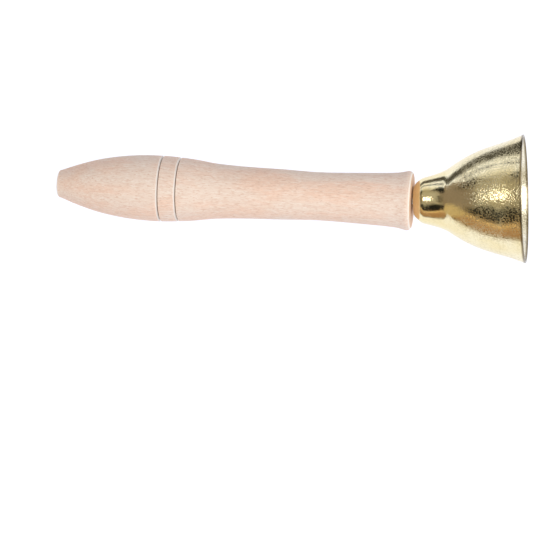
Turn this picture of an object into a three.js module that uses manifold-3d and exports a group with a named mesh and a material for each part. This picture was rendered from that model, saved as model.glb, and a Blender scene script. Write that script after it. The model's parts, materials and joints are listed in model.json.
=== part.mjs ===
// A small handbell: a plated metal cup screwed to the end of a turned wooden handle,
// with a ball clapper hung inside the cup on a ring through a screw eye.
// Millimetres, +Z up. The bell lies on its side, as it does when it is put down: the cup's rim
// and the thick of the handle rest on z = 0, and the mouth points along +X.
// The origin is under the middle of the bell's bounding box.
import * as THREE from "three";
import { mergeVertices } from "three/addons/utils/BufferGeometryUtils.js";
import Module from "manifold-3d";

const DEGREE = Math.PI / 180;

// Handle. A station is a distance from the tail end along the handle's axis.
const HANDLE_LENGTH = 137;
const HANDLE_OUTLINE = [ // [station, radius] of the turned surface between its rounded ends
  [1, 5.4], [8, 7.95], [17, 10.5], [28, 12.2], [40, 12.7], [52, 11.95],
  [62, 10.65], [74, 10], [87, 9.7], [101, 9.25], [118, 9.8], [131, 10.5], [135.2, 11.35],
];
const HANDLE_STEP = 5;
const TAIL_FLAT_RADIUS = 4.4;
const HANDLE_END_EDGE = 1.8;
const GROOVE_STATIONS = [40.6, 47.4];
const GROOVE_WIDTH = 1.1;
const GROOVE_DEPTH = 0.7;
const PILOT_RADIUS = 1.7;
const PILOT_DEPTH = 21; // from the crown's outer face, as the screw's reach is

// Cup. A depth is a distance from the crown's outer face towards the mouth.
const BELL_HEIGHT = 42;
const RIM_RADIUS = 24.5;
const CUP_WALL = 1;
const CROWN_FLAT_RADIUS = 5.4;
const CROWN_EDGE_RADIUS = 3.3;
const CROWN_HOLE_RADIUS = 1.9;
const NECK_OUTLINE = [[3.3, 8.7], [5.7, 9.3], [8, 9.95], [10.2, 10.7], [12.6, 11.7]]; // [depth, radius]
const FLARE_OUTLINE = [
  [12.6, 11.7], [15.9, 13.95], [20.4, 16.55], [24.9, 18.6], [30.5, 20.55], [35.5, 22.05], [38.5, 23.1],
  [BELL_HEIGHT, RIM_RADIUS],
];
const CUP_STEP = 3;
const RIM_CHAMFER = 0.25;

// The cup's axis is a few degrees off the handle's, because the screw eye stands askew in the handle.
const BELL_LEAN = 3.8 * DEGREE;
const SEAT_GAP = 0.3; // between pieces that touch

// Washer and screw eye
const WASHER_OUTER_RADIUS = 5;
const WASHER_INNER_RADIUS = 1.8;
const WASHER_THICKNESS = 0.8;
const EYE_WIRE_RADIUS = 0.9;
const EYE_RING_RADIUS = 3.1; // to the middle of the wire, as for every ring here
const SHANK_RADIUS = 1.2;
const THREAD_CORE_RADIUS = 0.95;
const THREAD_DEPTH = 0.4;
const THREAD_PITCH = 1.6;
const THREAD_LENGTH = 14.4;
const THREAD_STEPS_PER_TURN = 4;
const SCREW_POINT_LENGTH = 2.4;
const SCREW_REACH = 19.5; // from the crown's outer face to the screw's point

// Link ring and clapper
const LINK_WIRE_RADIUS = 0.6;
const LINK_RING_RADIUS = 3.3;
const CLAPPER_WIRE_RADIUS = 0.7;
const CLAPPER_EYE_RADIUS = 1.9;
const CLAPPER_LENGTH = 26; // from the screw eye's outer end to the ball's centre
const BALL_RADIUS = 5;
const BALL_BORE_RADIUS = 1;
const STOP_RADIUS = 1.6;
const STOP_THICKNESS = 1;
const RUNNING_GAP = 0.35; // between wires that turn on each other
const WALL_GAP = 0.45; // between the ball at rest and the cup's wall

const ROUND_SIDES = 40;
const SMALL_ROUND_SIDES = 24;
const WIRE_SIDES = 10;
const SHANK_SIDES = 12;
const EDGE_STEPS = 3;

const WOOD = new THREE.MeshStandardMaterial({ color: 0xe9cfb8, roughness: 0.62, metalness: 0 });
const BRASS = new THREE.MeshStandardMaterial({ color: 0xd9c274, roughness: 0.18, metalness: 1 });
const STEEL = new THREE.MeshStandardMaterial({ color: 0xb9bbbd, roughness: 0.3, metalness: 1 });

const wasm = await Module();
wasm.setup();

// A closed geometry as a manifold-3d solid.
function solidOf(geometry) {
  const bare = geometry.clone();
  bare.deleteAttribute("normal");
  bare.deleteAttribute("uv");
  const merged = mergeVertices(bare);
  const vertProperties = merged.attributes.position.array;
  const triVerts = new Uint32Array(merged.index.array);
  return new wasm.Manifold(new wasm.Mesh({ numProp: 3, vertProperties, triVerts }));
}

// The three.js geometry of a manifold-3d solid.
function geometryOf(solid) {
  const { vertProperties, triVerts } = solid.getMesh();
  const geometry = new THREE.BufferGeometry();
  geometry.setAttribute("position", new THREE.BufferAttribute(vertProperties, 3));
  geometry.setIndex(new THREE.BufferAttribute(triVerts, 1));
  geometry.computeVertexNormals();
  return geometry;
}

// Several closed geometries joined into one.
function joined(...geometries) {
  const solids = geometries.map(solidOf);
  return geometryOf(solids.reduce((whole, next) => whole.add(next)));
}

// The slope of an outline at one of its points, from the points beside it.
function slopeAt(outline, i) {
  const before = outline[Math.max(i - 1, 0)];
  const after = outline[Math.min(i + 1, outline.length - 1)];
  return (after[1] - before[1]) / (after[0] - before[0]);
}

// The radius of an outline at a distance along the axis, on a smooth cubic through its points.
function radiusAt(outline, distance) {
  const inner = outline.findIndex(([along]) => along > distance);
  const i = (inner < 0 ? outline.length - 1 : Math.max(inner, 1)) - 1;
  const [start, startRadius] = outline[i];
  const [end, endRadius] = outline[i + 1];
  const length = end - start;
  const t = (distance - start) / length;
  const startPull = length * slopeAt(outline, i);
  const endPull = length * slopeAt(outline, i + 1);
  return (
    startRadius * (1 + 2 * t) * (1 - t) ** 2 +
    startPull * t * (1 - t) ** 2 +
    endRadius * (3 - 2 * t) * t ** 2 -
    endPull * (1 - t) * t ** 2
  );
}

// Points [radius, distance] along an outline, about `step` apart.
function sampled(outline, step) {
  const start = outline[0][0];
  const end = outline[outline.length - 1][0];
  const count = Math.round((end - start) / step);
  const points = [];
  for (let i = 0; i <= count; i++) {
    const distance = start + ((end - start) * i) / count;
    points.push(new THREE.Vector2(radiusAt(outline, distance), distance));
  }
  return points;
}

// Points on a quarter of an ellipse, from one [radius, distance] to another, round a given centre.
function roundedEdge(from, to, centre, steps) {
  const points = [];
  for (let i = 0; i <= steps; i++) {
    const turn = (Math.PI / 2) * (i / steps);
    const a = from.clone().sub(centre).multiplyScalar(Math.cos(turn));
    const b = to.clone().sub(centre).multiplyScalar(Math.sin(turn));
    points.push(centre.clone().add(a).add(b));
  }
  return points;
}

// A solid turned about the X axis from points [radius, distance along X], with a flat underneath.
function turned(points, sides) {
  const geometry = new THREE.LatheGeometry(points, sides, Math.PI / sides);
  return geometry.rotateZ(-Math.PI / 2);
}

// A plain round bar along X.
function bar(radius, start, end, sides) {
  const corners = [[0, start], [radius, start], [radius, end], [0, end]];
  return turned(corners.map(([r, x]) => new THREE.Vector2(r, x)), sides);
}

// The handle's points without its grooves, from the tail's centre to the bell end's.
function handlePoints() {
  const [tailStation, tailRadius] = HANDLE_OUTLINE[0];
  const [lastStation, lastRadius] = HANDLE_OUTLINE[HANDLE_OUTLINE.length - 1];
  const tailEdge = roundedEdge(
    new THREE.Vector2(TAIL_FLAT_RADIUS, 0),
    new THREE.Vector2(tailRadius, tailStation),
    new THREE.Vector2(TAIL_FLAT_RADIUS, tailStation),
    EDGE_STEPS,
  );
  const endEdge = roundedEdge(
    new THREE.Vector2(lastRadius, lastStation),
    new THREE.Vector2(lastRadius - HANDLE_END_EDGE, HANDLE_LENGTH),
    new THREE.Vector2(lastRadius - HANDLE_END_EDGE, lastStation),
    EDGE_STEPS,
  );
  const sides = sampled(HANDLE_OUTLINE, HANDLE_STEP);
  return [...tailEdge, ...sides.slice(1, -1), ...endEdge];
}

// The three points of a V-shaped groove.
function groovePoints(station) {
  return [-GROOVE_WIDTH / 2, 0, GROOVE_WIDTH / 2].map((offset) => {
    const depth = offset === 0 ? GROOVE_DEPTH : 0;
    return new THREE.Vector2(radiusAt(HANDLE_OUTLINE, station + offset) - depth, station + offset);
  });
}

// Turned wooden handle with two grooves and a pilot hole that leans as the bell does.
function handle() {
  const clear = (point) => GROOVE_STATIONS.every((s) => Math.abs(point.y - s) > GROOVE_WIDTH);
  const points = [...handlePoints().filter(clear), ...GROOVE_STATIONS.flatMap(groovePoints)];
  points.sort((a, b) => a.y - b.y || (a.y < HANDLE_LENGTH / 2 ? a.x - b.x : b.x - a.x));
  const profile = [new THREE.Vector2(0, 0), ...points, new THREE.Vector2(0, HANDLE_LENGTH)];
  const blank = turned(profile, ROUND_SIDES);
  const pilot = bar(PILOT_RADIUS, -PILOT_DEPTH, CROWN_EDGE_RADIUS, SHANK_SIDES);
  pilot.rotateZ(BELL_LEAN).translate(headStation(), 0, 0);
  return geometryOf(solidOf(blank).subtract(solidOf(pilot)));
}

// The cup's outer points, from the crown hole to the rim.
function cupOuterPoints() {
  const crownEdge = roundedEdge(
    new THREE.Vector2(CROWN_FLAT_RADIUS, 0),
    new THREE.Vector2(CROWN_FLAT_RADIUS + CROWN_EDGE_RADIUS, CROWN_EDGE_RADIUS),
    new THREE.Vector2(CROWN_FLAT_RADIUS, CROWN_EDGE_RADIUS),
    EDGE_STEPS + 1,
  );
  const neck = sampled(NECK_OUTLINE, CUP_STEP);
  const flare = sampled(FLARE_OUTLINE, CUP_STEP);
  return [new THREE.Vector2(CROWN_HOLE_RADIUS, 0), ...crownEdge, ...neck.slice(1), ...flare.slice(1)];
}

// The cup's inner points, from the crown hole to the rim: the outer ones moved in by the wall.
function cupInnerPoints() {
  const outer = cupOuterPoints();
  return outer.map((point, i) => {
    const before = outer[Math.max(i - 1, 0)];
    const after = outer[Math.min(i + 1, outer.length - 1)];
    const along = after.clone().sub(before).normalize();
    const inward = new THREE.Vector2(-along.y, along.x).multiplyScalar(CUP_WALL);
    if (i === 0) inward.set(0, CUP_WALL);
    if (i === outer.length - 1) inward.setY(0);
    return point.clone().add(inward);
  });
}

// Stamped cup with a flat rim whose two corners are broken.
function bellCup() {
  const outer = cupOuterPoints();
  const inner = cupInnerPoints().reverse();
  const rim = outer.pop();
  const innerRim = inner.shift();
  const rimPoints = [
    new THREE.Vector2(rim.x - RIM_CHAMFER / 2, rim.y - RIM_CHAMFER),
    new THREE.Vector2(rim.x - RIM_CHAMFER, rim.y),
    new THREE.Vector2(innerRim.x + RIM_CHAMFER, rim.y),
    new THREE.Vector2(innerRim.x, rim.y - RIM_CHAMFER),
  ];
  return turned([...outer, ...rimPoints, ...inner, outer[0]], ROUND_SIDES);
}

// Flat washer that spreads the screw eye's pull over the crown.
function crownWasher() {
  const corners = [
    [WASHER_INNER_RADIUS, 0],
    [WASHER_OUTER_RADIUS, 0],
    [WASHER_OUTER_RADIUS, WASHER_THICKNESS],
    [WASHER_INNER_RADIUS, WASHER_THICKNESS],
    [WASHER_INNER_RADIUS, 0],
  ];
  return turned(corners.map(([r, x]) => new THREE.Vector2(r, x)), SMALL_ROUND_SIDES);
}

// A round wire ring in the XY plane with its centre at a distance along X.
function wireRing(ringRadius, wireRadius, centre) {
  const ring = new THREE.TorusGeometry(ringRadius, wireRadius, WIRE_SIDES, SMALL_ROUND_SIDES);
  return ring.translate(centre, 0, 0);
}

// Raises a helical thread on a bar along X, between two distances, by moving its points outwards.
function cutThread(geometry, start, end) {
  const position = geometry.attributes.position;
  for (let i = 0; i < position.count; i++) {
    const [x, y, z] = [position.getX(i), position.getY(i), position.getZ(i)];
    const radius = Math.hypot(y, z);
    if (x < start || x > end || radius < THREAD_CORE_RADIUS / 2) continue;
    const turns = (x - start) / THREAD_PITCH + Math.atan2(z, y) / (2 * Math.PI);
    const height = 1 - Math.abs(2 * (turns - Math.floor(turns)) - 1);
    const grown = 1 + (THREAD_DEPTH * height) / radius;
    position.setXYZ(i, x, y * grown, z * grown);
  }
  return geometry;
}

// Screw eye: a wood screw's shank with a ring at its head. x = 0 is the crown's outer face.
function screwEye() {
  const ringCentre = eyeTip() - EYE_RING_RADIUS;
  const threadStart = -SCREW_REACH + SCREW_POINT_LENGTH;
  const threadEnd = threadStart + THREAD_LENGTH;
  const rings = Math.round((THREAD_LENGTH / THREAD_PITCH) * THREAD_STEPS_PER_TURN);
  const points = [new THREE.Vector2(0, -SCREW_REACH)];
  for (let i = 0; i <= rings; i++) {
    points.push(new THREE.Vector2(THREAD_CORE_RADIUS, threadStart + (THREAD_LENGTH * i) / rings));
  }
  const shankEnd = ringCentre - EYE_RING_RADIUS;
  points.push(new THREE.Vector2(SHANK_RADIUS, threadEnd + THREAD_PITCH / 2));
  points.push(new THREE.Vector2(SHANK_RADIUS, shankEnd));
  points.push(new THREE.Vector2(0, shankEnd));
  const inset = THREAD_PITCH / (2 * THREAD_STEPS_PER_TURN);
  const shank = cutThread(turned(points, SHANK_SIDES), threadStart + inset, threadEnd - inset);
  return joined(shank, wireRing(EYE_RING_RADIUS, EYE_WIRE_RADIUS, ringCentre));
}

// Depth of the middle of the screw eye's outermost wire, where the link ring hangs.
function eyeTip() {
  const washerTop = CUP_WALL + SEAT_GAP + WASHER_THICKNESS;
  return washerTop + SEAT_GAP + EYE_WIRE_RADIUS + 2 * EYE_RING_RADIUS;
}

// Distance from the screw eye's outermost wire to the link ring's outermost wire.
function linkReach() {
  return 2 * LINK_RING_RADIUS - (EYE_WIRE_RADIUS + RUNNING_GAP + LINK_WIRE_RADIUS);
}

// Link ring, in the plane across the screw eye. x = 0 is the middle of the eye's wire.
function linkRing() {
  const ring = wireRing(LINK_RING_RADIUS, LINK_WIRE_RADIUS, linkReach() - LINK_RING_RADIUS);
  return ring.rotateX(Math.PI / 2);
}

// Distance from the link ring's outermost wire to the ball's centre.
function ballDistance() {
  return CLAPPER_LENGTH - linkReach();
}

// Clapper wire: an eye, a stem, a swaged stop before the ball and a head after it.
// x = 0 is the middle of the link ring's outermost wire.
function clapperWire() {
  const eyeInside = LINK_WIRE_RADIUS + RUNNING_GAP + CLAPPER_WIRE_RADIUS;
  const eyeCentre = CLAPPER_EYE_RADIUS - eyeInside;
  const eye = wireRing(CLAPPER_EYE_RADIUS, CLAPPER_WIRE_RADIUS, eyeCentre);
  const upperFace = ballDistance() - BALL_RADIUS - SEAT_GAP;
  const lowerFace = ballDistance() + BALL_RADIUS + SEAT_GAP;
  const stemStart = eyeCentre + CLAPPER_EYE_RADIUS;
  const profile = [
    [0, stemStart],
    [CLAPPER_WIRE_RADIUS, stemStart],
    [CLAPPER_WIRE_RADIUS, upperFace - STOP_THICKNESS],
    [STOP_RADIUS, upperFace - STOP_THICKNESS / 2],
    [STOP_RADIUS, upperFace],
    [CLAPPER_WIRE_RADIUS, upperFace],
    [CLAPPER_WIRE_RADIUS, lowerFace],
    [STOP_RADIUS, lowerFace],
    [STOP_RADIUS, lowerFace + STOP_THICKNESS / 2],
    [CLAPPER_WIRE_RADIUS, lowerFace + STOP_THICKNESS],
    [0, lowerFace + STOP_THICKNESS],
  ];
  const stem = turned(profile.map(([r, x]) => new THREE.Vector2(r, x)), SHANK_SIDES);
  return joined(eye, stem);
}

// Drilled ball. x = 0 is its centre.
function clapperBall() {
  const reach = Math.asin(BALL_BORE_RADIUS / BALL_RADIUS);
  const steps = SMALL_ROUND_SIDES / 2;
  const points = [];
  for (let i = 0; i <= steps; i++) {
    const turn = reach + (Math.PI - 2 * reach) * (i / steps);
    points.push(new THREE.Vector2(BALL_RADIUS * Math.sin(turn), -BALL_RADIUS * Math.cos(turn)));
  }
  return turned([...points, points[0]], SMALL_ROUND_SIDES);
}

// Where the crown's middle stands along the handle's axis, with its lower edge just off the wood.
function headStation() {
  const tippedEdge = CROWN_FLAT_RADIUS * Math.sin(BELL_LEAN);
  const roundedOff = CROWN_EDGE_RADIUS * (1 - Math.cos(BELL_LEAN));
  return HANDLE_LENGTH + SEAT_GAP + tippedEdge + roundedOff;
}

// How far the ball's surface is from the cup's inner wall when the clapper leaves the axis by an angle.
function gapToWall(angle) {
  const radius = CLAPPER_LENGTH * Math.sin(angle);
  const depth = eyeTip() + CLAPPER_LENGTH * Math.cos(angle);
  const ball = new THREE.Vector3(radius, depth, 0);
  const wall = cupInnerPoints();
  const nearest = new THREE.Vector3();
  const distances = wall.slice(1).map((point, i) => {
    const from = new THREE.Vector3(wall[i].x, wall[i].y, 0);
    const to = new THREE.Vector3(point.x, point.y, 0);
    new THREE.Line3(from, to).closestPointToPoint(ball, true, nearest);
    return nearest.distanceTo(ball);
  });
  return Math.min(...distances) * Math.cos(Math.PI / ROUND_SIDES) - BALL_RADIUS;
}

// The clapper's angle from the cup's axis when its ball lies on the wall, found by halving.
function restSwing() {
  let [clear, touching] = [0, Math.PI / 3];
  while (touching - clear > DEGREE / 100) {
    const middle = (clear + touching) / 2;
    if (gapToWall(middle) > WALL_GAP) clear = middle;
    else touching = middle;
  }
  return clear;
}

// The handle's slope when it lies on its thickest part and the corner of the cup's rim.
function restPitch() {
  const rimRadius = RIM_RADIUS - RIM_CHAMFER / 2;
  const rimStation = headStation() + (BELL_HEIGHT - RIM_CHAMFER) * Math.cos(BELL_LEAN);
  const slopes = handlePoints().map((p) => Math.atan2(rimRadius - p.x, rimStation - p.y));
  return Math.min(...slopes);
}

function mesh(name, geometry, material) {
  const made = new THREE.Mesh(geometry, material);
  made.name = name;
  return made;
}

// The clapper's parts below the link ring, which sway from side to side about its outer wire.
function clapper() {
  const group = new THREE.Group();
  const ball = mesh("clapper_ball", clapperBall(), STEEL);
  ball.position.x = ballDistance();
  group.add(mesh("clapper_wire", clapperWire(), STEEL), ball);
  return group;
}

// The link ring and what hangs on it, which swing up and down about the screw eye's outer wire.
function swingingChain() {
  const group = new THREE.Group();
  const hung = clapper();
  hung.position.x = linkReach();
  group.add(mesh("link_ring", linkRing(), STEEL), hung);
  group.position.x = eyeTip();
  group.rotation.y = restSwing();
  return group;
}

// Everything on the cup's axis, which leans on the handle's.
function bellHead() {
  const group = new THREE.Group();
  const washer = mesh("crown_washer", crownWasher(), STEEL);
  washer.position.x = CUP_WALL + SEAT_GAP;
  const eye = mesh("screw_eye", screwEye(), STEEL);
  group.add(mesh("bell_cup", bellCup(), BRASS), washer, eye, swingingChain());
  group.position.x = headStation();
  group.rotation.z = BELL_LEAN;
  return group;
}

// The whole bell, laid on its side with the middle of its box's underside at the origin.
function handbell() {
  const lying = new THREE.Group();
  lying.add(mesh("handle", handle(), WOOD), bellHead());
  lying.rotation.y = -restPitch();
  const box = new THREE.Box3().setFromObject(lying, true);
  const middle = box.getCenter(new THREE.Vector3());
  lying.position.set(-middle.x, -middle.y, -box.min.z);
  return new THREE.Group().add(lying);
}

export default handbell();
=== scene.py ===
import json
import math

import bpy
from mathutils import Matrix, Vector, noise


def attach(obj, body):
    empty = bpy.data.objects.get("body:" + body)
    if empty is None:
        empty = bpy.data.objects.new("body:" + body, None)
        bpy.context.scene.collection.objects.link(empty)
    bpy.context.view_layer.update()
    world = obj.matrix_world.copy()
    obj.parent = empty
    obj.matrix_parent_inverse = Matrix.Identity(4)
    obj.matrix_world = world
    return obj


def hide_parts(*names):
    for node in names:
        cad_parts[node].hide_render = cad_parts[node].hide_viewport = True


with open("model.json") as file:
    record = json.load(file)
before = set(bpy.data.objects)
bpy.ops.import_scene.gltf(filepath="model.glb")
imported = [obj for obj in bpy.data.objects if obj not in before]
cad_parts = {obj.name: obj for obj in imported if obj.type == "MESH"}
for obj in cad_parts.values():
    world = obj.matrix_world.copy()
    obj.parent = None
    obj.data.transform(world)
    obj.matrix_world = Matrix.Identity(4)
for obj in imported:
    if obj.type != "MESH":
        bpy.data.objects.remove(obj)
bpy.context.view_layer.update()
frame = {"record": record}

MM = 0.001

# Camera: above the bell, looking straight down past it.
CAMERA_PLACE = (63.6, -34.1, 1086)
CAMERA_AIM = (-4.55, -33.8, 18)
CAMERA_ROLL = 3.06
CAMERA_LENS = 183.4

# Handle, as in the CAD but for a tighter edge at its bell end and a finer shape in its grooves.
# A station is a distance from the tail end along the handle's axis.
HANDLE_LENGTH = 137
HANDLE_OUTLINE = [  # (station, radius)
    (1, 5.4), (8, 7.95), (17, 10.5), (28, 12.2), (40, 12.7), (52, 11.95),
    (62, 10.65), (74, 10), (87, 9.7), (101, 9.25), (118, 9.8), (131, 10.5), (135.2, 11.35),
]
HANDLE_STEP = 0.7
HANDLE_SIDES = 256
TAIL_FLAT_RADIUS = 4.4
HANDLE_END_EDGE = 1.3
GROOVE_STATIONS = (40.6, 47.4)
GROOVE_WIDTH = 1.1
GROOVE_DEPTH = 0.7
GROOVE_STEPS = 22
GROOVE_FLOOR = 0.1  # how far the floor stands from the groove's middle, towards the bell
GROOVE_CURVE = 1.1  # the power that a groove's walls follow, where 1 is straight
PILOT_RADIUS = 1.7
PILOT_MOUTH = 4  # how deep the pilot hole is made here, as the screw hides the rest of it
SANDED_DEPTH = 0.05
SANDED_LENGTH = 22  # how long the soft facets are that the sanding leaves
SANDED_TURNS = 1.3  # how quickly they change round the handle
SANDED_RADIUS = 5  # they fade out nearer the axis than this

# Cup, as in the CAD but for a flatter edge round its crown and a finer rim.
# A depth is a distance from the crown's outer face towards the mouth.
BELL_HEIGHT = 42
RIM_RADIUS = 24.5
CUP_WALL = 1
CROWN_FLAT_RADIUS = 5.4
CROWN_EDGE_RADIUS = 3.3
CROWN_HOLE_RADIUS = 1.9
CROWN_PRESS = 0.7  # how far the press has flattened the crown's round edge, where 1 is a straight cone
NECK_OUTLINE = [(3.3, 8.7), (5.7, 9.3), (8, 9.95), (10.2, 10.7), (12.6, 11.7)]  # (depth, radius)
FLARE_OUTLINE = [
    (12.6, 11.7), (15.9, 13.95), (20.4, 16.55), (24.9, 18.6), (30.5, 20.55), (35.5, 22.05), (38.5, 23.1),
    (BELL_HEIGHT, RIM_RADIUS),
]
CUP_STEP = 0.35
CUP_SIDES = 288
RIM_CORNER = 0.25
RIM_THICKNESS = 0.95
RIM_SHADE_REACH = 1  # how far from the mouth the painted shade on the rim's edge starts, to be full at half of this
NECK_HEIGHT = 12
NECK_PEEL = 0.45  # how much orange peel the neck shows, where the flare shows 1
DRAWN_REACH = 8  # how far past the neck the sheet is stretched enough to show all of it
SHOULDER_SOFTNESS = 0.7  # how far the corner between the crown's edge and the neck is rounded, on each side
CREASE_SOFTNESS = 0.4  # the same for the corner between the neck and the flare
CUP_WAVE_HEIGHT = 0.03
CUP_WAVE_LENGTH = 9
CALM_RIM = 6  # how far from the mouth the waves start to fade out

SEAT_GAP = 0.3
CAD_ROUND_SIDES = 40
ON_FACETS = math.cos(math.pi / CAD_ROUND_SIDES)  # a radius times this reaches the CAD's flat facets
SKIN_INSET = 0.03  # how far the handle's surface is set in to stay within the CAD's

# Washer and screw eye, as in the CAD.
WASHER_OUTER_RADIUS = 5
WASHER_INNER_RADIUS = 1.8
WASHER_THICKNESS = 0.8
WASHER_CORNER = 0.15
EYE_WIRE_RADIUS = 0.9
EYE_RING_RADIUS = 3.1
EYE_OPENING = 35  # half the angle that the eye's ring leaves open, beside its shank
SHANK_RADIUS = 1.2
SHANK_BEND_START = 2.4
THREAD_CORE_RADIUS = 0.95
THREAD_DEPTH = 0.4
THREAD_PITCH = 1.6
THREAD_LENGTH = 14.4
THREAD_STEPS_PER_TURN = 24
SCREW_POINT_LENGTH = 2.4
SCREW_POINT_RADIUS = 0.05
SCREW_REACH = 19.5
EYE_TIP = CUP_WALL + WASHER_THICKNESS + 2 * SEAT_GAP + EYE_WIRE_RADIUS + 2 * EYE_RING_RADIUS

# Link ring and clapper, as in the CAD.
RUNNING_GAP = 0.35
LINK_WIRE_RADIUS = 0.6
LINK_RING_RADIUS = 3.3
LINK_SEAM = 2
LINK_REACH = 2 * LINK_RING_RADIUS - (EYE_WIRE_RADIUS + RUNNING_GAP + LINK_WIRE_RADIUS)
CLAPPER_WIRE_RADIUS = 0.7
CLAPPER_EYE_RADIUS = 1.9
CLAPPER_EYE_OPENING = 28
CLAPPER_BEND_REACH = 1.1  # from the middle of the wire round the eye to where the bend starts
CLAPPER_LENGTH = 26
CUT_END = 0.6  # how wide the flat is on the wire's cut end, as a share of the wire
BALL_DISTANCE = CLAPPER_LENGTH - LINK_REACH
BALL_RADIUS = 5
BALL_BORE_RADIUS = 1
BALL_BORE_CORNER = 0.2
DENT_DEPTH = 0.03
DENT_LENGTH = 1.6
DENT_RADIUS = 2  # the dents fade out nearer the bore's axis than this
STOP_RADIUS = 1.6
STOP_THICKNESS = 1
STOP_SOFTNESS = 0.12

TIP_REACH = 0.25  # how far an eye's rounded tip stands out, as a share of its wire
TIP_FLAT = 0.7  # how wide the tip's flat is, as a share of its wire

FACE_RINGS = 6
SMALL_SIDES = 128
WIRE_SIDES = 32
WIRE_STEP = 0.5
BEND_STEPS = 12
EYE_STEPS = 72
LINK_STEPS = 96
BALL_STEPS = 64
CORNER_STEPS = 8
SHARP_ANGLE = 40
FLOOR_REACH = 15000

# Reliefs of the materials: how high the wood's stands, and how deep the plating's is sunk.
PORE_HEIGHT = 0.05
FLECK_HEIGHT = 0.05
PEEL_DEPTH = 0.023
WAVE_DEPTH = 0.02

# Colours, linear. The sky's heights are sines of the elevation.
SKY_COLOURS = [
    (0.2, (1.05, 1.07, 1.15, 1)), (0.37, (0.85, 0.8, 0.68, 1)), (0.5, (0.42, 0.37, 0.27, 1)),
    (0.68, (0.5, 0.46, 0.36, 1)), (0.92, (0.3, 0.25, 0.17, 1)),
]
WOOD_PALE = (0.85, 0.71, 0.63)
WOOD_PINK = (0.87, 0.64, 0.53)
WOOD_LIGHT = (0.95, 0.88, 0.84)
WOOD_STREAK = (0.70, 0.47, 0.37)
# The next colour is a painted highlight: the ends' rounded edges and the grooves' slanting walls are
# lightened as if lit.
WOOD_PAINTED_HIGHLIGHT = (0.97, 0.92, 0.88)
# The next colour is painted shade, on the grooves' steep walls.
WOOD_PAINTED_SHADE = (0.25, 0.15, 0.11)
WOOD_END = (0.82, 0.58, 0.44)
GOLD_PALE = (0.92, 0.83, 0.56)
GOLD_DEEP = (0.88, 0.76, 0.45)
# The next colour is painted shade in the orange peel's pits.
GOLD_PAINTED_PIT_SHADE = (0.55, 0.45, 0.22)
# The next colour is painted shade along the rim's edge.
GOLD_PAINTED_RIM_SHADE = (0.24, 0.19, 0.11)
GOLD_INSIDE = (0.95, 0.92, 0.82)
STEEL_PALE = (0.74, 0.74, 0.72)
STEEL_GREY = (0.52, 0.52, 0.51)


# ---- Outlines ----

def slope_at(outline, i):
    """The slope of an outline at one of its points, from the points beside it."""
    before = outline[max(i - 1, 0)]
    after = outline[min(i + 1, len(outline) - 1)]
    return (after[1] - before[1]) / (after[0] - before[0])


def radius_at(outline, along):
    """The radius of an outline at a distance along the axis, on a smooth cubic through its points."""
    i = max(k for k, point in enumerate(outline[:-1]) if k == 0 or point[0] <= along)
    (start, start_radius), (end, end_radius) = outline[i], outline[i + 1]
    length = end - start
    t = (along - start) / length
    start_pull = length * slope_at(outline, i)
    end_pull = length * slope_at(outline, i + 1)
    return (start_radius * (1 + 2 * t) * (1 - t) ** 2 + start_pull * t * (1 - t) ** 2
            + end_radius * (3 - 2 * t) * t ** 2 - end_pull * (1 - t) * t ** 2)


def spread(start, end, step):
    """Distances from start to end, about one step apart."""
    count = max(round(abs(end - start) / step), 1)
    return [start + (end - start) * i / count for i in range(count + 1)]


def sampled(outline, step):
    """Points (distance, radius) along an outline, about one step apart."""
    return [(along, radius_at(outline, along)) for along in spread(outline[0][0], outline[-1][0], step)]


def rounded(start, end, centre, steps=10):
    """Points on a quarter of an ellipse from one (distance, radius) to another, round a centre."""
    points = []
    for i in range(steps + 1):
        turn = math.pi / 2 * i / steps
        points.append(tuple(c + (a - c) * math.cos(turn) + (b - c) * math.sin(turn)
                            for a, b, c in zip(start, end, centre)))
    return points


def end_facing(points):
    """How far each point of an outline faces along the axis, from 0 to 1."""
    facing = []
    for i in range(len(points)):
        before, after = Vector(points[max(i - 1, 0)]), Vector(points[min(i + 1, len(points) - 1)])
        facing.append(abs((after - before).normalized().y))
    return facing


def softened(points, middle, reach):
    """The points with the corner at a distance along rounded off, over a reach on each side of it."""
    before = [point for point in points if point[0] < middle - reach]
    after = [point for point in points if point[0] > middle + reach]
    corner = min(points, key=lambda point: abs(point[0] - middle))
    curve = []
    for i in range(1, CORNER_STEPS):
        t = i / CORNER_STEPS
        curve.append(tuple(a * (1 - t) ** 2 + 2 * c * t * (1 - t) + b * t ** 2
                           for a, c, b in zip(before[-1], corner, after[0])))
    return before + curve + after


def moved_in(points, wall):
    """The points moved towards the axis by a wall's thickness, square to an outline that only widens.
    Points that would fold back inside a tight corner are left out."""
    inner = []
    for i, (along, radius) in enumerate(points):
        before = points[max(i - 1, 0)]
        after = points[min(i + 1, len(points) - 1)]
        way = Vector((after[0] - before[0], after[1] - before[1])).normalized()
        moved = (along + way.y * wall, radius - way.x * wall)
        if not inner or (moved[0] >= inner[-1][0] and moved[1] >= inner[-1][1]):
            inner.append(moved)
    return inner


# ---- Meshes ----

def mesh_object(name, verts, faces, place, marks=None):
    """An object from points in millimetres in its own frame, smooth except at its sharp corners.
    Its mesh keeps those points as the attribute "own", which the materials take their grain from."""
    mesh = bpy.data.meshes.new(name)
    verts = [Vector(v) for v in verts]
    mesh.from_pydata([place @ (v * MM) for v in verts], [], faces)
    own = mesh.attributes.new("own", "FLOAT_VECTOR", "POINT")
    own.data.foreach_set("vector", [c for v in verts for c in v])
    for key, values in (marks or {}).items():
        mesh.attributes.new(key, "FLOAT", "POINT").data.foreach_set("value", values)
    mesh.shade_smooth()
    mesh.set_sharp_from_angle(angle=math.radians(SHARP_ANGLE))
    made = bpy.data.objects.new(name, mesh)
    bpy.context.scene.collection.objects.link(made)
    return made


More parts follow.
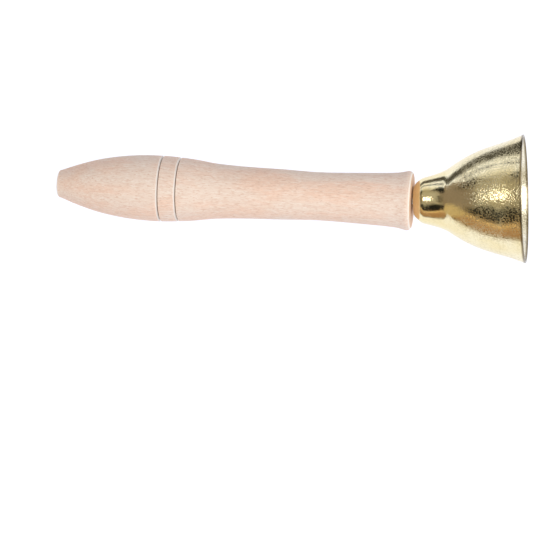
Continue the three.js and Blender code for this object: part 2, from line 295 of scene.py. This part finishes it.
def lathe(name, points, sides, place, shaped=None, marks=None):
    """A piece turned about X from points (distance, radius). A profile that doesn't start and end on
    the axis closes on itself. shaped(along, radius, turn) gives a point's own radius, and marks hold
    a value for each point of the profile."""
    verts, rows, values = [], [], {key: [] for key in marks or {}}
    for i, (along, radius) in enumerate(points):
        count = sides if radius else 1
        rows.append([len(verts) + k for k in range(count)])
        for k in range(count):
            turn = 2 * math.pi * k / sides
            r = shaped(along, radius, turn) if shaped and radius else radius
            verts.append((along, r * math.sin(turn), r * math.cos(turn)))
            for key in values:
                values[key].append(marks[key][i])
    pairs = list(zip(rows, rows[1:]))
    if len(rows[0]) > 1:
        pairs.append((rows[-1], rows[0]))
    faces = []
    for low, high in pairs:
        for k in range(sides):
            after = (k + 1) % sides
            low_pair = low[k % len(low)], low[after % len(low)]
            high_pair = high[k % len(high)], high[after % len(high)]
            corners = [low_pair[0], high_pair[0], high_pair[1], low_pair[1]]
            faces.append(list(dict.fromkeys(corners)))
    return mesh_object(name, verts, faces, place, values)


def swept(name, stations, sides, place, shaped=None):
    """A wire of stations (centre, radius) in the XY plane, closed at both ends.
    shaped(station number, turn) scales a point's radius."""
    verts, faces = [], []
    last = len(stations) - 1
    for i, (centre, radius) in enumerate(stations):
        way = (stations[min(i + 1, last)][0] - stations[max(i - 1, 0)][0]).normalized()
        side = Vector((-way.y, way.x, 0))
        for k in range(sides):
            turn = 2 * math.pi * k / sides
            r = radius * (shaped(i, turn) if shaped else 1)
            verts.append(centre + side * r * math.cos(turn) + Vector((0, 0, r * math.sin(turn))))
    rows = [range(i * sides, (i + 1) * sides) for i in range(len(stations))]
    for low, high in zip(rows, rows[1:]):
        for k in range(sides):
            after = (k + 1) % sides
            faces.append([low[k], low[after], high[after], high[k]])
    faces.append(list(reversed(rows[0])))
    faces.append(list(rows[-1]))
    return mesh_object(name, verts, faces, place)


def arc_points(centre, radius, start, end, count):
    """Points on an arc in the XY plane, between two angles in degrees."""
    points = []
    for i in range(count + 1):
        turn = math.radians(start + (end - start) * i / count)
        points.append(Vector((centre + radius * math.cos(turn), radius * math.sin(turn), 0)))
    return points


def bend_points(start, start_way, end, end_way, count):
    """Points on a smooth bend between two points, leaving and arriving in the given directions."""
    pull = (end - start).length
    points = []
    for i in range(1, count):
        t = i / count
        points.append(start * (1 + 2 * t) * (1 - t) ** 2 + start_way * pull * t * (1 - t) ** 2
                      + end * (3 - 2 * t) * t ** 2 - end_way * pull * (1 - t) * t ** 2)
    return points


# ---- Frames, from the record's joints and mount ----

def axes_frame(origin, x, y, z):
    place = Matrix((x, y, z)).transposed().to_4x4()
    place.translation = origin
    return place


def head_station(lean):
    """Where the crown's middle stands along the handle's axis, with its nearest edge just off the wood.
    The cup's lean is in radians."""
    tipped_edge = CROWN_FLAT_RADIUS * math.sin(lean)
    rounded_off = CROWN_EDGE_RADIUS * (1 - math.cos(lean))
    return HANDLE_LENGTH + SEAT_GAP + tipped_edge + rounded_off


joints = {joint["name"]: joint for joint in frame["record"]["behaviour"]["joints"]}
swing, sway = joints["clapper_swing"], joints["clapper_sway"]
cup_x = Vector(frame["record"]["mounts"][0]["axis"]).normalized()
cup_y = -Vector(swing["axis"]).normalized()
cup_z = cup_x.cross(cup_y)
handle_y = Vector((0, 1, 0))
handle_x = handle_y.cross(cup_z)
crown = Vector(swing["pos_m"]) - cup_x * EYE_TIP * MM
tail = crown - handle_x * head_station(math.acos(handle_x.dot(cup_x))) * MM
chain_z = Vector(sway["axis"]).normalized()
chain_x = cup_y.cross(chain_z)

handle_frame = axes_frame(tail, handle_x, handle_y, cup_z)
cup_frame = axes_frame(crown, cup_x, cup_y, cup_z)
link_frame = axes_frame(Vector(swing["pos_m"]), chain_x, cup_y, chain_z)
clapper_frame = axes_frame(Vector(sway["pos_m"]), chain_x, cup_y, chain_z)
link_ring_frame = link_frame @ Matrix.Rotation(math.pi / 2, 4, "X")


# ---- Pieces ----

def groove_depth(station):
    """How deep the handle is cut at a station: two grooves with a slanting wall and a steep one."""
    for middle in GROOVE_STATIONS:
        off = station - middle - GROOVE_FLOOR
        reach = GROOVE_WIDTH / 2 - GROOVE_FLOOR if off > 0 else GROOVE_WIDTH / 2 + GROOVE_FLOOR
        off = abs(off) / reach
        if off < 1:
            return GROOVE_DEPTH * (1 - off) ** GROOVE_CURVE
    return 0


def groove_side(station):
    """1 on a groove's slanting wall and -1 on its steep one, nearer the bell."""
    nearest = min(GROOVE_STATIONS, key=lambda middle: abs(station - middle))
    return 1 if station < nearest + GROOVE_FLOOR else -1


def handle():
    """The turned handle, with its flat tail, grooves, rounded bell end and the pilot hole's mouth."""
    (first, first_radius), (last, last_radius) = HANDLE_OUTLINE[0], HANDLE_OUTLINE[-1]
    stations = spread(first, last, HANDLE_STEP)
    half = GROOVE_WIDTH / 2
    clear = GROOVE_WIDTH * 0.6  # a little past the groove's edge
    for middle in GROOVE_STATIONS:
        stations = [s for s in stations if abs(s - middle) > clear]
        stations += spread(middle - half, middle + half, GROOVE_WIDTH / GROOVE_STEPS)
    stations.sort()
    side = [(s, radius_at(HANDLE_OUTLINE, s) - groove_depth(s)) for s in stations]
    tail_edge = rounded((0, TAIL_FLAT_RADIUS), (first, first_radius), (first, TAIL_FLAT_RADIUS))
    face_radius = last_radius - HANDLE_END_EDGE
    end_edge = rounded((last, last_radius), (HANDLE_LENGTH, face_radius), (last, face_radius))
    tail_face = [(0, TAIL_FLAT_RADIUS * k / FACE_RINGS) for k in range(FACE_RINGS)]
    end_face = [(HANDLE_LENGTH, face_radius + (PILOT_RADIUS - face_radius) * k / FACE_RINGS)
                for k in range(1, FACE_RINGS + 1)]
    pilot = [(HANDLE_LENGTH - PILOT_MOUTH, PILOT_RADIUS), (HANDLE_LENGTH - PILOT_MOUTH, 0)]
    points = tail_face + tail_edge + side[1:-1] + end_edge + end_face + pilot
    points = [(along, max(radius * ON_FACETS - SKIN_INSET, 0)) for along, radius in points]
    # Painted light in the grooves: positive on the slanting walls, which get a painted highlight, and
    # negative on the steep walls, which get painted shade.
    groove_light_and_shade = [groove_depth(along) / GROOVE_DEPTH * groove_side(along) for along, _ in points]
    ends = [0 if groove_depth(p[0]) else facing for p, facing in zip(points, end_facing(points))]

    def shaped(along, radius, turn):
        """Sanding leaves the round a few hundredths of a millimetre out, in long soft facets."""
        across, up = math.sin(turn) * SANDED_TURNS, math.cos(turn) * SANDED_TURNS
        share = 0.5 + 0.5 * noise.noise(Vector((along / SANDED_LENGTH, across, up)))
        return radius - SANDED_DEPTH * share * min(radius / SANDED_RADIUS, 1)

    return lathe("turned_handle", points, HANDLE_SIDES, handle_frame, shaped,
                 {"groove": groove_light_and_shade, "end": ends})


def cup_outer_points():
    """The cup's outer points, from the crown hole to the corner of the rim."""
    crown_width = CROWN_FLAT_RADIUS - CROWN_HOLE_RADIUS
    crown_face = [(0, CROWN_HOLE_RADIUS + crown_width * k / FACE_RINGS) for k in range(FACE_RINGS)]
    edge_end = (CROWN_EDGE_RADIUS, CROWN_FLAT_RADIUS + CROWN_EDGE_RADIUS)
    edge_centre = (CROWN_EDGE_RADIUS, CROWN_FLAT_RADIUS)
    crown_edge = []
    for along, radius in rounded((0, CROWN_FLAT_RADIUS), edge_end, edge_centre, steps=16):
        bulge = (radius - CROWN_FLAT_RADIUS - along) / 2
        crown_edge.append((along + bulge * CROWN_PRESS, radius - bulge * CROWN_PRESS))
    sides = sampled(NECK_OUTLINE, CUP_STEP)[1:] + sampled(FLARE_OUTLINE, CUP_STEP)[1:]
    shell = crown_face + crown_edge + [point for point in sides if point[0] < BELL_HEIGHT - RIM_CORNER]
    shell = softened(shell, CROWN_EDGE_RADIUS, SHOULDER_SOFTNESS)
    return softened(shell, NECK_OUTLINE[-1][0], CREASE_SOFTNESS)


def bell_cup():
    """The stamped cup: one sheet with a rounded rim, slightly wavy from the press."""
    outer = cup_outer_points()
    inner = list(reversed(moved_in(outer, CUP_WALL)))
    rim_radius = RIM_RADIUS - RIM_CORNER / 2
    inner_rim = rim_radius - RIM_THICKNESS
    outer_corner = rounded((BELL_HEIGHT - RIM_CORNER, rim_radius), (BELL_HEIGHT, rim_radius - RIM_CORNER),
                           (BELL_HEIGHT - RIM_CORNER, rim_radius - RIM_CORNER), steps=5)
    inner_corner = rounded((BELL_HEIGHT, inner_rim + RIM_CORNER), (BELL_HEIGHT - RIM_CORNER, inner_rim),
                           (BELL_HEIGHT - RIM_CORNER, inner_rim + RIM_CORNER), steps=5)
    rim = outer_corner + inner_corner
    points = [(along, radius * ON_FACETS) for along, radius in outer + rim + inner]
    inside = [0] * (len(outer) + len(outer_corner)) + [1] * (len(inner_corner) + len(inner))
    # How far each point lies in the painted shade along the rim's edge.
    edge = [min(max((along - BELL_HEIGHT + RIM_SHADE_REACH) / RIM_SHADE_REACH * 2, 0), 1) for along, _ in points]
    drawn = [min(max((along - NECK_HEIGHT) / DRAWN_REACH, NECK_PEEL), 1) for along, _ in points]

    def shaped(along, radius, turn):
        place = Vector((along, radius * math.sin(turn), radius * math.cos(turn))) / CUP_WAVE_LENGTH
        calm = min((BELL_HEIGHT - along) / CALM_RIM, 1)
        return radius - CUP_WAVE_HEIGHT * calm * (0.5 + 0.5 * noise.noise(place))

    return lathe("stamped_cup", points, CUP_SIDES, cup_frame, shaped,
                 {"inside": inside, "edge": edge, "drawn": drawn})


def washer():
    """The flat washer inside the crown, with its punched edges rounded over."""
    low, high = CUP_WALL + SEAT_GAP, CUP_WALL + SEAT_GAP + WASHER_THICKNESS
    inner, outer, c = WASHER_INNER_RADIUS, WASHER_OUTER_RADIUS, WASHER_CORNER
    corners = [  # the start, end and centre of each
        ((low + c, inner), (low, inner + c), (low + c, inner + c)),
        ((low, outer - c), (low + c, outer), (low + c, outer - c)),
        ((high - c, outer), (high, outer - c), (high - c, outer - c)),
        ((high, inner + c), (high - c, inner), (high - c, inner + c)),
    ]
    points = [point for corner in corners for point in rounded(*corner, steps=4)]
    return lathe("crown_plain_washer", points, SMALL_SIDES, cup_frame)


def lollipop(shank, shank_end, eye_centre, eye_radius, opening, wire_radius):
    """Stations of a wire that runs along X, bends aside and goes round an eye, which stays open beside
    the bend. The wire's tip is rounded."""
    start = Vector((shank_end, 0, 0))
    ring = arc_points(eye_centre, eye_radius, 180 + opening, 540 - opening, EYE_STEPS)
    turn = math.radians(180 + opening)
    ring_way = Vector((-math.sin(turn), math.cos(turn), 0))
    bend = bend_points(start, Vector((1, 0, 0)), ring[0], ring_way, BEND_STEPS)
    tip_way = (ring[-1] - ring[-2]).normalized()
    tip = []
    for bevel in (math.pi / 6, math.pi / 3, math.pi / 2):
        place = ring[-1] + tip_way * wire_radius * TIP_REACH * math.sin(bevel)
        tip.append((place, wire_radius * (TIP_FLAT + (1 - TIP_FLAT) * math.cos(bevel))))
    return shank + [(p, wire_radius) for p in bend + ring] + tip


def screw_eye():
    """The screw eye: a pointed, threaded shank whose wire is bent into the ring."""
    thread_start = -SCREW_REACH + SCREW_POINT_LENGTH
    thread_end = thread_start + THREAD_LENGTH
    shank = []
    for along in spread(-SCREW_REACH, SHANK_BEND_START, THREAD_PITCH / THREAD_STEPS_PER_TURN):
        core = THREAD_CORE_RADIUS
        if along < thread_start:
            from_tip = along + SCREW_REACH
            core = max(THREAD_CORE_RADIUS * from_tip / SCREW_POINT_LENGTH, SCREW_POINT_RADIUS)
        elif along > thread_end:
            rise = min((along - thread_end) / THREAD_PITCH, 1)
            core += (SHANK_RADIUS - THREAD_CORE_RADIUS) * rise
        if along > 0:
            core += (EYE_WIRE_RADIUS - SHANK_RADIUS) * along / SHANK_BEND_START
        shank.append((Vector((along, 0, 0)), core))

    def threaded(i, turn):
        along, core = (shank[i][0].x, shank[i][1]) if i < len(shank) else (0, 1)
        if along < thread_start or along > thread_end:
            return 1
        turns = (along - thread_start) / THREAD_PITCH + turn / (2 * math.pi)
        flank = 1 - abs(2 * (turns % 1) - 1)
        fade = min(along - thread_start, thread_end - along, 1)
        return 1 + THREAD_DEPTH * fade * max(2 * flank - 1, 0) / core

    stations = lollipop(shank, SHANK_BEND_START, EYE_TIP - EYE_RING_RADIUS, EYE_RING_RADIUS, EYE_OPENING,
                        EYE_WIRE_RADIUS)
    return swept("eye_screw", stations, WIRE_SIDES, cup_frame, threaded)


def link_ring():
    """The link ring: a turn of wire whose ends are butted together."""
    centre = LINK_REACH - LINK_RING_RADIUS
    ring = arc_points(centre, LINK_RING_RADIUS, 90 + LINK_SEAM, 450 - LINK_SEAM, LINK_STEPS)
    stations = [(point, LINK_WIRE_RADIUS) for point in ring]
    return swept("hanging_ring", stations, WIRE_SIDES, link_ring_frame)


def clapper_stem():
    """The clapper's wire: an eye bent at its upper end, and a swaged stop on each side of the ball."""
    eye_inside = LINK_WIRE_RADIUS + RUNNING_GAP + CLAPPER_WIRE_RADIUS
    eye_centre = CLAPPER_EYE_RADIUS - eye_inside
    upper_face = BALL_DISTANCE - BALL_RADIUS - SEAT_GAP
    lower_face = BALL_DISTANCE + BALL_RADIUS + SEAT_GAP
    wire, stop, half, soft = CLAPPER_WIRE_RADIUS, STOP_RADIUS, STOP_THICKNESS / 2, STOP_SOFTNESS
    profile = [
        (lower_face + STOP_THICKNESS, wire * CUT_END), (lower_face + STOP_THICKNESS - soft, wire),
        (lower_face + half, stop - soft), (lower_face + half - soft, stop), (lower_face + soft, stop),
        (lower_face, stop - soft), (lower_face, wire), (BALL_DISTANCE, wire), (upper_face, wire),
        (upper_face, stop - soft), (upper_face - soft, stop), (upper_face - half + soft, stop),
        (upper_face - half, stop - soft), (upper_face - STOP_THICKNESS, wire),
    ]
    stem_start = upper_face - STOP_THICKNESS - 0.4  # just past the stop's last point
    stem_end = eye_centre + CLAPPER_EYE_RADIUS + CLAPPER_BEND_REACH
    profile += [(along, wire) for along in spread(stem_start, stem_end, WIRE_STEP)]
    flip = 2 * eye_centre
    shank = [(Vector((flip - along, 0, 0)), radius) for along, radius in profile]
    stations = lollipop(shank, flip - stem_end, eye_centre, CLAPPER_EYE_RADIUS, CLAPPER_EYE_OPENING, wire)
    half_turn = Matrix.Rotation(math.pi, 4, "Z")
    turned_round = clapper_frame @ Matrix.Translation((flip * MM, 0, 0)) @ half_turn
    return swept("clapper_stem", stations, WIRE_SIDES, turned_round)


def clapper_ball():
    """The drilled ball, with the mouths of its bore rounded over and a few small dents from the cup."""
    reach = math.asin((BALL_BORE_RADIUS + BALL_BORE_CORNER) / BALL_RADIUS)
    points = []
    for i in range(BALL_STEPS + 1):
        turn = reach + (math.pi - 2 * reach) * i / BALL_STEPS
        points.append((-BALL_RADIUS * math.cos(turn), BALL_RADIUS * math.sin(turn)))
    half_bore = BALL_RADIUS * math.cos(reach) - BALL_BORE_CORNER
    points += [(half_bore, BALL_BORE_RADIUS), (-half_bore, BALL_BORE_RADIUS)]

    def dented(along, radius, turn):
        spot = Vector((along, radius * math.sin(turn), radius * math.cos(turn)))
        return radius - DENT_DEPTH * max(noise.noise(spot / DENT_LENGTH), 0) * min(radius / DENT_RADIUS, 1)

    place = clapper_frame @ Matrix.Translation((BALL_DISTANCE * MM, 0, 0))
    return lathe("drilled_ball", points, SMALL_SIDES, place, dented)


# ---- Materials ----

class Material:
    """A node material: add() makes a node and joins or sets its inputs, and set() does so on the shader."""

    def __init__(self, name):
        self.data = bpy.data.materials.new(name)
        self.data.use_nodes = True
        self.nodes = self.data.node_tree.nodes
        self.shader = self.nodes["Principled BSDF"]

    def put(self, node, values):
        for key, value in values.items():
            socket = node.inputs[key]
            if isinstance(value, bpy.types.NodeSocket):
                self.data.node_tree.links.new(value, socket)
            elif isinstance(value, tuple) and len(value) == 3 and socket.type == "RGBA":
                socket.default_value = (*value, 1)
            else:
                socket.default_value = value

    def add(self, kind, values, output=0, **settings):
        node = self.nodes.new("ShaderNode" + kind)
        for key, value in settings.items():
            setattr(node, key, value)
        self.put(node, values)
        return node.outputs[output]

    def set(self, values):
        self.put(self.shader, values)

    def own(self, stretch):
        """The piece's own coordinates in millimetres, divided by a stretch along each axis."""
        coordinates = self.add("Attribute", {}, output="Vector", attribute_name="own")
        return self.add("Mapping", {"Vector": coordinates, "Scale": tuple(1 / s for s in stretch)})

    def noise(self, stretch, detail, roughness=0.5, distortion=0):
        """Noise whose patches are about as long along each of the piece's axes as the stretch says."""
        values = {"Vector": self.own(stretch), "Scale": 1.0, "Detail": float(detail),
                  "Roughness": roughness, "Distortion": float(distortion)}
        return self.add("TexNoise", values)

    def ramp(self, value, low, high, to_low=0, to_high=1):
        """A value's smooth step from low to high, as a number between to_low and to_high."""
        values = {"Value": value, "From Min": low, "From Max": high, "To Min": to_low, "To Max": to_high}
        return self.add("MapRange", values, interpolation_type="SMOOTHSTEP")

    def mix(self, factor, low, high):
        """A colour between two colours."""
        return self.add("Mix", {0: factor, 6: low, 7: high}, output=2, data_type="RGBA")

    def math(self, operation, first, second):
        return self.add("Math", {0: first, 1: second}, operation=operation)

    def mark(self, name):
        """A value that the mesh holds at its points."""
        return self.add("Attribute", {}, output="Fac", attribute_name=name)

    def bump(self, height, distance, normal=None, sunk=False):
        """A relief over another one's normal, standing out of the surface or sunk into it."""
        values = {"Height": height, "Distance": distance * MM, "Strength": 1.0}
        if normal:
            values["Normal"] = normal
        return self.add("Bump", values, invert=sunk)


def wood():
    """Sanded pale hardwood: faint straight grain, soft pink patches, short flecks, darker end grain."""
    m = Material("sanded_wood")
    patches = m.noise((24, 8, 8), detail=2, distortion=0.4)
    colour = m.mix(m.ramp(patches, 0.36, 0.66), WOOD_PALE, WOOD_PINK)
    grain = m.noise((34, 1.4, 1.4), detail=4, roughness=0.6, distortion=0.3)
    colour = m.mix(m.ramp(grain, 0.48, 0.75, 0, 0.3), colour, WOOD_STREAK)
    fibres = m.noise((4, 0.6, 0.6), detail=3, roughness=0.7)
    colour = m.mix(m.ramp(fibres, 0.46, 0.7, 0, 0.42), colour, WOOD_STREAK)
    mottle = m.noise((3, 0.6, 0.6), detail=2, roughness=0.7)
    colour = m.mix(m.ramp(mottle, 0.46, 0.7, 0, 0.4), colour, WOOD_LIGHT)
    flecks = m.noise((1.6, 0.36, 0.36), detail=2)
    colour = m.mix(m.ramp(flecks, 0.48, 0.28, 0, 0.75), colour, WOOD_STREAK)
    # Painted highlight: the ends' rounded edges are lightened as if they caught the light. The end faces
    # get the darker colour of end grain.
    colour = m.mix(m.ramp(m.mark("end"), 0.4, 0.75, 0, 0.9), colour, WOOD_PAINTED_HIGHLIGHT)
    colour = m.mix(m.ramp(m.mark("end"), 0.85, 0.98, 0, 1), colour, WOOD_END)
    # Painted light in the grooves: a painted highlight on the slanting walls and painted shade on the steep
    # walls.
    colour = m.mix(m.ramp(m.mark("groove"), 0, 0.3, 0, 1), colour, WOOD_PAINTED_HIGHLIGHT)
    colour = m.mix(m.ramp(m.mark("groove"), 0, -0.15, 0, 1), colour, WOOD_PAINTED_SHADE)
    pores = m.bump(fibres, PORE_HEIGHT)
    m.set({"Base Color": colour, "Roughness": m.ramp(grain, 0.3, 0.7, 0.55, 0.7),
           "Specular IOR Level": 0.3, "Normal": m.bump(flecks, FLECK_HEIGHT, pores)})
    return m.data


def plating():
    """Pale gold plating over a stamped cup: bright with a fine orange-peel skin outside, duller inside."""
    m = Material("gold_plating")
    clouds = m.noise((11, 11, 11), detail=3)
    colour = m.mix(m.ramp(clouds, 0.35, 0.65), GOLD_PALE, GOLD_DEEP)
    inside = m.mark("inside")
    colour = m.mix(m.math("MULTIPLY", inside, 0.7), colour, GOLD_INSIDE)
    peel = m.ramp(m.noise((0.62, 0.62, 0.62), detail=2, roughness=0.6), 0.42, 0.66)
    areas = m.ramp(m.noise((7, 7, 7), detail=1), 0.34, 0.52, 0.62, 1)
    peel = m.math("MULTIPLY", m.math("MULTIPLY", peel, areas), m.mark("drawn"))
    # Painted shade: the peel's pits are darkened as if they held less light.
    colour = m.mix(m.math("MULTIPLY", peel, 0.3), colour, GOLD_PAINTED_PIT_SHADE)
    waves = m.noise((3.2, 3.2, 3.2), detail=1)
    skin = m.bump(peel, PEEL_DEPTH, m.bump(waves, WAVE_DEPTH, sunk=True), sunk=True)
    smudges = m.noise((5, 2.5, 2.5), detail=4, roughness=0.65)
    dull = m.math("ADD", m.ramp(smudges, 0.4, 0.75, 0.08, 0.13), m.math("MULTIPLY", inside, 0.1))
    roughness = m.math("ADD", dull, m.math("MULTIPLY", peel, 0.22))
    # Painted shade along the rim's edge.
    colour = m.mix(m.mark("edge"), colour, GOLD_PAINTED_RIM_SHADE)
    m.set({"Base Color": colour, "Metallic": 1.0, "Roughness": roughness, "Normal": skin})
    return m.data


def steel(name, low, high, marks):
    """Zinc-plated steel, cloudy between a low and a high roughness, with fine marks of a given height."""
    m = Material(name)
    clouds = m.noise((2.2, 1.1, 1.1), detail=4, roughness=0.6)
    fine = m.noise((1.4, 0.18, 0.18), detail=2)
    m.set({"Base Color": m.mix(m.ramp(clouds, 0.35, 0.7), STEEL_PALE, STEEL_GREY), "Metallic": 1.0,
           "Roughness": m.ramp(clouds, 0.3, 0.7, low, high), "Normal": m.bump(fine, marks)})
    return m.data


# ---- Stage ----

def emitter(name, place, aim, size, radiance):
    """A white, rectangular soft light of a given brightness at a place, turned to what it aims at."""
    light = bpy.data.lights.new(name, "AREA")
    light.shape = "RECTANGLE"
    light.size, light.size_y = (side * MM for side in size)
    light.energy = radiance * math.pi * light.size * light.size_y
    made = bpy.data.objects.new(name, light)
    bpy.context.scene.collection.objects.link(made)
    way = (Vector(aim) - Vector(place)).normalized()
    turned = way.to_track_quat("-Z", "Y").to_matrix().to_4x4()
    made.matrix_world = Matrix.Translation(Vector(place) * MM) @ turned


def sheet(across, along, height):
    """Corners of a level sheet over a stretch of X and of Y."""
    (x0, x1), (y0, y1) = across, along
    return [(x0, y0, height), (x1, y0, height), (x1, y1, height), (x0, y1, height)]


def upright(start, end, low, high):
    """Corners of an upright sheet that stands over a line between two (x, y) points."""
    return [(*start, low), (*end, low), (*end, high), (*start, high)]


def flat_card(name, corners, colour, glow=(0, 0, 0)):
    """A flat, matt, staged sheet through four corners, with a glow of its own if it has one."""
    card = mesh_object(name, corners, [[0, 1, 2, 3]], Matrix.Identity(4))
    m = Material(name)
    m.set({"Base Color": colour, "Roughness": 0.9, "Specular IOR Level": 0.0,
           "Emission Color": glow, "Emission Strength": 1.0})
    card.data.materials.append(m.data)
    return card


def hidden_card(name, corners, colour, glow=(0, 0, 0)):
    """A card that only lights and dims: the camera doesn't see it, and it throws no shadow."""
    card = flat_card(name, corners, colour, glow)
    card.visible_camera = False
    card.visible_shadow = False
    return card


def mirrored_card(name, corners, colour):
    """A card that shows only in reflections, with a brightness of its own."""
    card = hidden_card(name, corners, (0, 0, 0), colour)
    card.visible_diffuse = False


def camera():
    """The camera, which looks down from its place to its aim and is rolled a little."""
    place, aim = Vector(CAMERA_PLACE) * MM, Vector(CAMERA_AIM) * MM
    roll = math.radians(CAMERA_ROLL)
    forward = (aim - place).normalized()
    right = forward.cross(Vector((-math.sin(roll), math.cos(roll), 0))).normalized()
    lens = bpy.data.cameras.new("camera")
    lens.lens = CAMERA_LENS
    made = bpy.data.objects.new("camera", lens)
    bpy.context.scene.collection.objects.link(made)
    made.matrix_world = axes_frame(place, right, right.cross(forward), -forward)
    bpy.context.scene.camera = made


def sky():
    """A room that is dim and warm overhead and white towards the horizon."""
    world = bpy.data.worlds.new("room")
    world.use_nodes = True
    bpy.context.scene.world = world
    nodes, links = world.node_tree.nodes, world.node_tree.links
    way = nodes.new("ShaderNodeTexCoord")
    split = nodes.new("ShaderNodeSeparateXYZ")
    ramp = nodes.new("ShaderNodeValToRGB")
    links.new(way.outputs["Generated"], split.inputs[0])
    links.new(split.outputs["Z"], ramp.inputs[0])
    links.new(ramp.outputs[0], nodes["Background"].inputs["Color"])
    stops = ramp.color_ramp.elements
    stops[0].position, stops[0].color = SKY_COLOURS[0]
    stops[1].position, stops[1].color = SKY_COLOURS[-1]
    for height, colour in SKY_COLOURS[1:-1]:
        stops.new(height).color = colour


def stage():
    """A white floor, a room, a large soft light, a small lamp for the highlights, the cards that the cup
    mirrors, dark ones on +Y's side and warm ones on -Y's, and a card that dims +Y's side."""
    flat_card("floor", sheet((-FLOOR_REACH, FLOOR_REACH), (-FLOOR_REACH, FLOOR_REACH), 0),
              (0.1, 0.1, 0.1), (0.96, 0.975, 1.05))
    sky()
    bell = (70, 0, 35)
    emitter("key_softbox", (260, 170, 760), (20, 0, 10), (1300, 620), 2.7)
    emitter("lamp", (-290, 45, 500), bell, (120, 28), 17)
    mirrored_card("far_flag", upright((-430, 300), (-430, -560), 20, 370), (0.27, 0.21, 0.15))
    mirrored_card("low_flag", upright((-430, 130), (-430, -130), 370, 450), (0.1, 0.085, 0.06))
    mirrored_card("dark_flag", upright((-400, -190), (-270, -580), 250, 540), (0.012, 0.012, 0.01))
    mirrored_card("dark_spot", upright((-365, 150), (-275, 300), 150, 280), (0.01, 0.01, 0.008))
    mirrored_card("side_flag", sheet((-400, 260), (52, 200), 1), (0.07, 0.065, 0.055))
    mirrored_card("far_edge", upright((-330, 300), (-190, 440), 56, 102), (0.02, 0.018, 0.012))
    mirrored_card("warm_far", upright((-330, -95), (-180, -190), 2, 150), (0.58, 0.44, 0.22))
    mirrored_card("warm_foot", upright((-180, -190), (0, -330), 2, 34), (0.25, 0.18, 0.08))
    mirrored_card("warm_card", upright((-180, -190), (0, -330), 34, 120), (0.42, 0.24, 0.12))
    mirrored_card("warm_top", upright((-180, -190), (0, -330), 120, 165), (0.75, 0.52, 0.27))
    shade = hidden_card("shade_card", upright((-300, 105), (300, 105), 0, 190), (0.05, 0.05, 0.05))
    shade.visible_glossy = False


def dress(piece, body, node, material):
    """Gives a piece its material and its body, and hides the CAD node that it stands for."""
    piece.data.materials.append(material)
    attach(piece, body)
    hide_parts(node)


camera()
stage()
fittings = steel("zinc_plated_steel", 0.22, 0.4, 0.02)
dress(handle(), "bell", "handle", wood())
dress(bell_cup(), "bell", "bell_cup", plating())
dress(washer(), "bell", "crown_washer", fittings)
dress(screw_eye(), "bell", "screw_eye", fittings)
dress(link_ring(), "link", "link_ring", fittings)
dress(clapper_stem(), "clapper", "clapper_wire", fittings)
dress(clapper_ball(), "clapper", "clapper_ball", steel("ball_steel", 0.25, 0.45, 0.04))
bpy.context.scene.view_settings.view_transform = "Standard"
